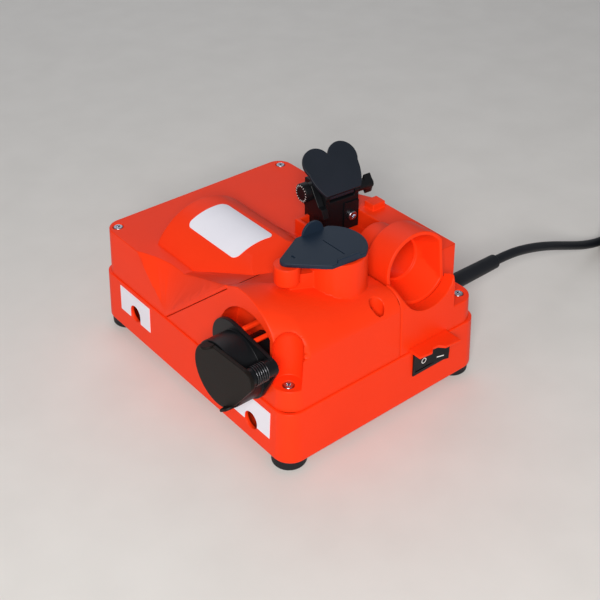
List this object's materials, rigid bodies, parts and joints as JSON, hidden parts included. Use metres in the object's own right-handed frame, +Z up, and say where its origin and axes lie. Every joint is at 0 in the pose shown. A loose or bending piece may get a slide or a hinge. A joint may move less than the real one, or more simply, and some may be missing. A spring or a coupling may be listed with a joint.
{
  "type": "tool sharpener",
  "caption": "Bench sharpener with a red two-part housing, drill ports under swivel lids, a hooded blade wheel, a drill setting cup with a flap gauge, a rocker switch and a corded plug.",
  "frame": {"origin": "on the bench, under the middle of the machine's box without its cord", "axes": "+X right as the switch is faced, +Y to the back (the switch looks to -Y), +Z up"},
  "size_m": [0.4972, 0.3095, 0.1461],
  "materials": {
    "red_plastic": "satin moulded red",
    "black_plastic": "satin moulded black",
    "grey_plastic": "satin moulded blue-grey",
    "cord_rubber": "matt",
    "label_film": "blank film",
    "steel": "zinc plated",
    "copper": "enamelled copper wire, varnished",
    "cast_aluminium": "as cast",
    "grinding_stone": "bonded grit",
    "brass": "nickel plated",
    "tie_strip": "plastic strip",
    "capacitor_case": "moulded case"
  },
  "bodies": {
    "machine": {"coil_tie": "tie_strip", "cord_clamp": "black_plastic", "cord_clamp_screws": "steel", "cord_coil": "cord_rubber", "drill_chamber_cover": "red_plastic", "foot_screws": "steel", "front_bearing": "steel", "front_end_shield": "cast_aluminium", "front_port_label": "label_film", "gauge_block": "black_plastic", "gauge_flap_pin": "black_plastic", "gauge_screw": "steel", "gauge_spring_plate": "black_plastic", "gauge_wing_nut": "black_plastic", "hood_label": "label_film", "housing_screws": "steel", "inner_lead": "cord_rubber", "left_drill_sleeve": "black_plastic", "left_lid_pin": "black_plastic", "lower_housing": "red_plastic", "mains_cord": "cord_rubber", "mains_plug": "black_plastic", "motor_foot_screws": "steel", "motor_tie_rods": "steel", "plug_pins": "brass", "rear_bearing": "steel", "rear_end_shield": "cast_aluminium", "rear_port_label": "label_film", "rubber_feet": "cord_rubber", "run_capacitor": "capacitor_case", "setting_cup": "red_plastic", "stator_core": "steel", "stator_winding": "copper", "strain_relief": "cord_rubber", "switch_body": "black_plastic", "switch_visor": "red_plastic", "terminal_block": "black_plastic", "top_lid_pin": "black_plastic", "upper_housing": "red_plastic", "wheel_hood": "red_plastic"},
    "rotor": {"motor_shaft": "steel", "rotor_core": "steel", "cooling_fan": "black_plastic", "drill_wheel": "grinding_stone", "blade_wheel": "grinding_stone", "drill_wheel_flanges": "steel", "blade_wheel_flanges": "steel", "wheel_nuts": "steel"},
    "top_lid": {"top_lid": "grey_plastic"},
    "left_lid": {"left_lid": "black_plastic"},
    "rocker": {"switch_rocker": "black_plastic"},
    "flap": {"gauge_flap": "black_plastic"},
    "knob": {"gauge_knob": "black_plastic", "gauge_lever": "black_plastic", "gauge_spindle": "black_plastic"}
  },
  "joints": [
    {"name": "shaft_spin", "type": "hinge", "parent": "machine", "child": "rotor", "pos_m": [-0.01435, 0.00563, 0.064], "axis": [0, 1, 0], "continuous": true},
    {"name": "top_lid_swivel", "type": "hinge", "parent": "machine", "child": "top_lid", "pos_m": [-0.03735, -0.06187, 0.128], "axis": [0, 0, 1], "range_deg": [0, 110]},
    {"name": "left_lid_swivel", "type": "hinge", "parent": "machine", "child": "left_lid", "pos_m": [-0.09635, -0.09587, 0.0865], "axis": [1, 0, 0], "range_deg": [0, 110]},
    {"name": "switch_rock", "type": "hinge", "parent": "machine", "child": "rocker", "pos_m": [0.05364, -0.10403, 0.0375], "axis": [0, 0, 1], "range_deg": [0, 16]},
    {"name": "gauge_flap_hinge", "type": "hinge", "parent": "machine", "child": "flap", "pos_m": [0.06173, 0.00072, 0.1164], "axis": [0.9962, -0.0872, 0], "range_deg": [0, 65]},
    {"name": "gauge_knob_turn", "type": "hinge", "parent": "machine", "child": "knob", "pos_m": [0.06265, 0.01128, 0.119], "axis": [0.9962, -0.0872, 0], "range_deg": [0, 25]}
  ]
}
